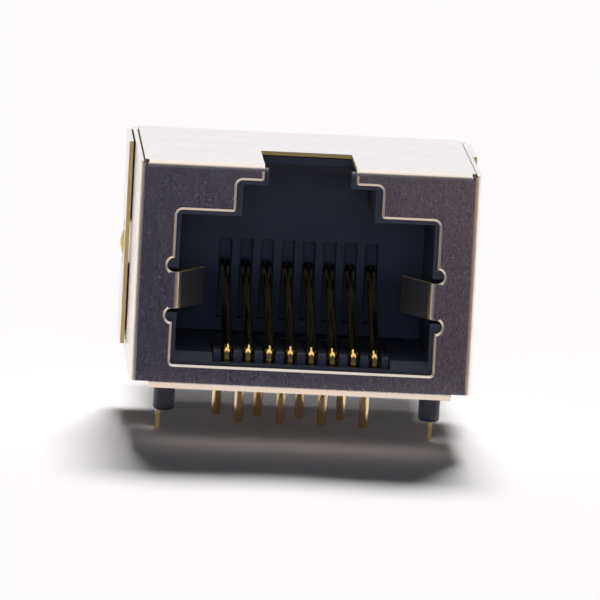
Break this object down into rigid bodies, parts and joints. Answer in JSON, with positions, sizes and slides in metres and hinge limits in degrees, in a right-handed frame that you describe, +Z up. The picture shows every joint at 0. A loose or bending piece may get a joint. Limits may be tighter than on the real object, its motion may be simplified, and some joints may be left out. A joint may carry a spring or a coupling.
{
  "type": "rj45 board jack",
  "caption": "Shielded right-angle modular jack for a circuit board, latch side up, with a stepped plug opening, ground fingers, solder tabs, locating pegs and wire contacts.",
  "frame": {"origin": "on the board's top, midway between the axes of the two locating pegs", "axes": "+X across the jack, +Y from the front opening towards the back, the way a plug goes in, +Z up from the board"},
  "size_m": [0.0172, 0.016, 0.0136],
  "materials": {
    "nickel_plated_brass": "nickel-plated, satin",
    "black_plastic": "matte moulded",
    "gold_plated_wire": "gold-plated"
  },
  "bodies": {
    "root": {"shield_shell": "nickel_plated_brass", "housing": "black_plastic", "contact_insert": "black_plastic", "contact_1": "gold_plated_wire", "contact_2": "gold_plated_wire", "contact_3": "gold_plated_wire", "contact_4": "gold_plated_wire", "contact_5": "gold_plated_wire", "contact_6": "gold_plated_wire", "contact_7": "gold_plated_wire", "contact_8": "gold_plated_wire"}
  },
  "joints": []
}
